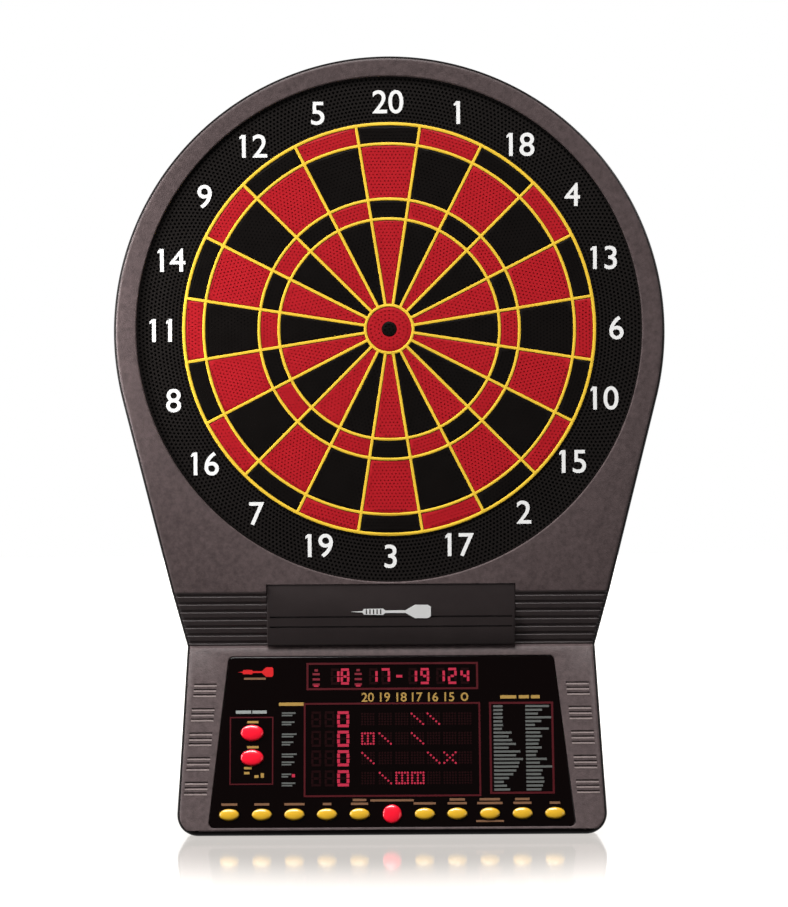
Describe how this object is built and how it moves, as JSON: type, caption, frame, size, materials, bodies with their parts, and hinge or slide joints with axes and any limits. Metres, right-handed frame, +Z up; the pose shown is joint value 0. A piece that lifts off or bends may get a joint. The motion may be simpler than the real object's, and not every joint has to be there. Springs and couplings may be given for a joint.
{
  "type": "electronic dartboard",
  "caption": "Wall-mounted electronic soft-tip dartboard with sprung scoring segments, a numbered catch ring and a tilted scoring console with displays and push buttons.",
  "frame": {"origin": "on the wall plane at the back of the rear cover, on the axis of the bull", "axes": "+Z up, +X to the right as a player sees the board, +Y into the wall; the target faces -Y"},
  "size_m": [0.5242, 0.0759, 0.7375],
  "materials": {
    "shell_plastic": "fine texture, dark warm grey",
    "black_plastic": "black, moulded texture",
    "dark_trim": "satin, dark",
    "yellow_plastic": "semi gloss",
    "red_segment": "semi gloss, perforated",
    "black_segment": "semi gloss, perforated",
    "gloss_overlay": "clear gloss over black print",
    "display_plastic": "smoked lens",
    "red_button": "gloss",
    "yellow_button": "gloss",
    "rubber": "matte",
    "sensor_film": "clear film with printed tracks",
    "fibreboard": "raw fibreboard",
    "circuit_board": "solder mask",
    "zinc_steel": "zinc plated",
    "ribbon_cable": "flat cable"
  },
  "bodies": {
    "board": {"front_housing": "shell_plastic", "rear_cover": "black_plastic", "catch_ring": "black_plastic", "spider": "yellow_plastic", "rubber_sheet": "rubber", "sensor_matrix": "sensor_film", "pressure_plate": "fibreboard", "matrix_cable": "ribbon_cable", "nameplate": "dark_trim", "speaker": "zinc_steel", "display_overlay": "gloss_overlay", "status_display": "display_plastic", "score_display": "display_plastic", "key_mat": "rubber", "side_key_mat": "rubber", "display_board": "circuit_board", "main_board": "circuit_board", "power_socket": "black_plastic", "case_screw_1": "zinc_steel", "case_screw_2": "zinc_steel", "case_screw_3": "zinc_steel", "case_screw_4": "zinc_steel", "case_screw_5": "zinc_steel", "case_screw_6": "zinc_steel"},
    "start_button": {"start_button": "red_button"},
    "side_button_upper": {"side_button_upper": "red_button"},
    "side_button_lower": {"side_button_lower": "red_button"},
    "select_button_01": {"select_button_01": "yellow_button"},
    "select_button_02": {"select_button_02": "yellow_button"},
    "select_button_03": {"select_button_03": "yellow_button"},
    "select_button_04": {"select_button_04": "yellow_button"},
    "select_button_05": {"select_button_05": "yellow_button"},
    "select_button_06": {"select_button_06": "yellow_button"},
    "select_button_07": {"select_button_07": "yellow_button"},
    "select_button_08": {"select_button_08": "yellow_button"},
    "select_button_09": {"select_button_09": "yellow_button"},
    "select_button_10": {"select_button_10": "yellow_button"},
    "bull_ring": {"bull_ring": "red_segment"},
    "bull_centre": {"bull_centre": "black_segment"},
    "segment_bank_20": {"segment_bank_20": "red_segment"},
    "segment_bank_01": {"segment_bank_01": "black_segment"},
    "segment_bank_18": {"segment_bank_18": "red_segment"},
    "segment_bank_04": {"segment_bank_04": "black_segment"},
    "segment_bank_13": {"segment_bank_13": "red_segment"},
    "segment_bank_06": {"segment_bank_06": "black_segment"},
    "segment_bank_10": {"segment_bank_10": "red_segment"},
    "segment_bank_15": {"segment_bank_15": "black_segment"},
    "segment_bank_02": {"segment_bank_02": "red_segment"},
    "segment_bank_17": {"segment_bank_17": "black_segment"},
    "segment_bank_03": {"segment_bank_03": "red_segment"},
    "segment_bank_19": {"segment_bank_19": "black_segment"},
    "segment_bank_07": {"segment_bank_07": "red_segment"},
    "segment_bank_16": {"segment_bank_16": "black_segment"},
    "segment_bank_08": {"segment_bank_08": "red_segment"},
    "segment_bank_11": {"segment_bank_11": "black_segment"},
    "segment_bank_14": {"segment_bank_14": "red_segment"},
    "segment_bank_09": {"segment_bank_09": "black_segment"},
    "segment_bank_12": {"segment_bank_12": "red_segment"},
    "segment_bank_05": {"segment_bank_05": "black_segment"}
  },
  "joints": [
    {"name": "start_button_press", "type": "slide", "parent": "board", "child": "start_button", "axis": [0, 0.9659, -0.2588], "range_m": [0, 0.0015], "stiffness_N_per_m": 600},
    {"name": "side_button_upper_press", "type": "slide", "parent": "board", "child": "side_button_upper", "axis": [0, 0.9659, -0.2588], "range_m": [0, 0.0015], "stiffness_N_per_m": 600},
    {"name": "side_button_lower_press", "type": "slide", "parent": "board", "child": "side_button_lower", "axis": [0, 0.9659, -0.2588], "range_m": [0, 0.0015], "stiffness_N_per_m": 600},
    {"name": "select_button_01_press", "type": "slide", "parent": "board", "child": "select_button_01", "axis": [0, 0.9659, -0.2588], "range_m": [0, 0.0015], "stiffness_N_per_m": 600},
    {"name": "select_button_02_press", "type": "slide", "parent": "board", "child": "select_button_02", "axis": [0, 0.9659, -0.2588], "range_m": [0, 0.0015], "stiffness_N_per_m": 600},
    {"name": "select_button_03_press", "type": "slide", "parent": "board", "child": "select_button_03", "axis": [0, 0.9659, -0.2588], "range_m": [0, 0.0015], "stiffness_N_per_m": 600},
    {"name": "select_button_04_press", "type": "slide", "parent": "board", "child": "select_button_04", "axis": [0, 0.9659, -0.2588], "range_m": [0, 0.0015], "stiffness_N_per_m": 600},
    {"name": "select_button_05_press", "type": "slide", "parent": "board", "child": "select_button_05", "axis": [0, 0.9659, -0.2588], "range_m": [0, 0.0015], "stiffness_N_per_m": 600},
    {"name": "select_button_06_press", "type": "slide", "parent": "board", "child": "select_button_06", "axis": [0, 0.9659, -0.2588], "range_m": [0, 0.0015], "stiffness_N_per_m": 600},
    {"name": "select_button_07_press", "type": "slide", "parent": "board", "child": "select_button_07", "axis": [0, 0.9659, -0.2588], "range_m": [0, 0.0015], "stiffness_N_per_m": 600},
    {"name": "select_button_08_press", "type": "slide", "parent": "board", "child": "select_button_08", "axis": [0, 0.9659, -0.2588], "range_m": [0, 0.0015], "stiffness_N_per_m": 600},
    {"name": "select_button_09_press", "type": "slide", "parent": "board", "child": "select_button_09", "axis": [0, 0.9659, -0.2588], "range_m": [0, 0.0015], "stiffness_N_per_m": 600},
    {"name": "select_button_10_press", "type": "slide", "parent": "board", "child": "select_button_10", "axis": [0, 0.9659, -0.2588], "range_m": [0, 0.0015], "stiffness_N_per_m": 600},
    {"name": "bull_ring_press", "type": "slide", "parent": "board", "child": "bull_ring", "axis": [0, 1, 0], "range_m": [0, 0.001], "stiffness_N_per_m": 1500},
    {"name": "bull_centre_press", "type": "slide", "parent": "board", "child": "bull_centre", "axis": [0, 1, 0], "range_m": [0, 0.001], "stiffness_N_per_m": 1500},
    {"name": "segment_bank_20_press", "type": "slide", "parent": "board", "child": "segment_bank_20", "axis": [0, 1, 0], "range_m": [0, 0.001], "stiffness_N_per_m": 2500},
    {"name": "segment_bank_01_press", "type": "slide", "parent": "board", "child": "segment_bank_01", "axis": [0, 1, 0], "range_m": [0, 0.001], "stiffness_N_per_m": 2500},
    {"name": "segment_bank_18_press", "type": "slide", "parent": "board", "child": "segment_bank_18", "axis": [0, 1, 0], "range_m": [0, 0.001], "stiffness_N_per_m": 2500},
    {"name": "segment_bank_04_press", "type": "slide", "parent": "board", "child": "segment_bank_04", "axis": [0, 1, 0], "range_m": [0, 0.001], "stiffness_N_per_m": 2500},
    {"name": "segment_bank_13_press", "type": "slide", "parent": "board", "child": "segment_bank_13", "axis": [0, 1, 0], "range_m": [0, 0.001], "stiffness_N_per_m": 2500},
    {"name": "segment_bank_06_press", "type": "slide", "parent": "board", "child": "segment_bank_06", "axis": [0, 1, 0], "range_m": [0, 0.001], "stiffness_N_per_m": 2500},
    {"name": "segment_bank_10_press", "type": "slide", "parent": "board", "child": "segment_bank_10", "axis": [0, 1, 0], "range_m": [0, 0.001], "stiffness_N_per_m": 2500},
    {"name": "segment_bank_15_press", "type": "slide", "parent": "board", "child": "segment_bank_15", "axis": [0, 1, 0], "range_m": [0, 0.001], "stiffness_N_per_m": 2500},
    {"name": "segment_bank_02_press", "type": "slide", "parent": "board", "child": "segment_bank_02", "axis": [0, 1, 0], "range_m": [0, 0.001], "stiffness_N_per_m": 2500},
    {"name": "segment_bank_17_press", "type": "slide", "parent": "board", "child": "segment_bank_17", "axis": [0, 1, 0], "range_m": [0, 0.001], "stiffness_N_per_m": 2500},
    {"name": "segment_bank_03_press", "type": "slide", "parent": "board", "child": "segment_bank_03", "axis": [0, 1, 0], "range_m": [0, 0.001], "stiffness_N_per_m": 2500},
    {"name": "segment_bank_19_press", "type": "slide", "parent": "board", "child": "segment_bank_19", "axis": [0, 1, 0], "range_m": [0, 0.001], "stiffness_N_per_m": 2500},
    {"name": "segment_bank_07_press", "type": "slide", "parent": "board", "child": "segment_bank_07", "axis": [0, 1, 0], "range_m": [0, 0.001], "stiffness_N_per_m": 2500},
    {"name": "segment_bank_16_press", "type": "slide", "parent": "board", "child": "segment_bank_16", "axis": [0, 1, 0], "range_m": [0, 0.001], "stiffness_N_per_m": 2500},
    {"name": "segment_bank_08_press", "type": "slide", "parent": "board", "child": "segment_bank_08", "axis": [0, 1, 0], "range_m": [0, 0.001], "stiffness_N_per_m": 2500},
    {"name": "segment_bank_11_press", "type": "slide", "parent": "board", "child": "segment_bank_11", "axis": [0, 1, 0], "range_m": [0, 0.001], "stiffness_N_per_m": 2500},
    {"name": "segment_bank_14_press", "type": "slide", "parent": "board", "child": "segment_bank_14", "axis": [0, 1, 0], "range_m": [0, 0.001], "stiffness_N_per_m": 2500},
    {"name": "segment_bank_09_press", "type": "slide", "parent": "board", "child": "segment_bank_09", "axis": [0, 1, 0], "range_m": [0, 0.001], "stiffness_N_per_m": 2500},
    {"name": "segment_bank_12_press", "type": "slide", "parent": "board", "child": "segment_bank_12", "axis": [0, 1, 0], "range_m": [0, 0.001], "stiffness_N_per_m": 2500},
    {"name": "segment_bank_05_press", "type": "slide", "parent": "board", "child": "segment_bank_05", "axis": [0, 1, 0], "range_m": [0, 0.001], "stiffness_N_per_m": 2500}
  ]
}
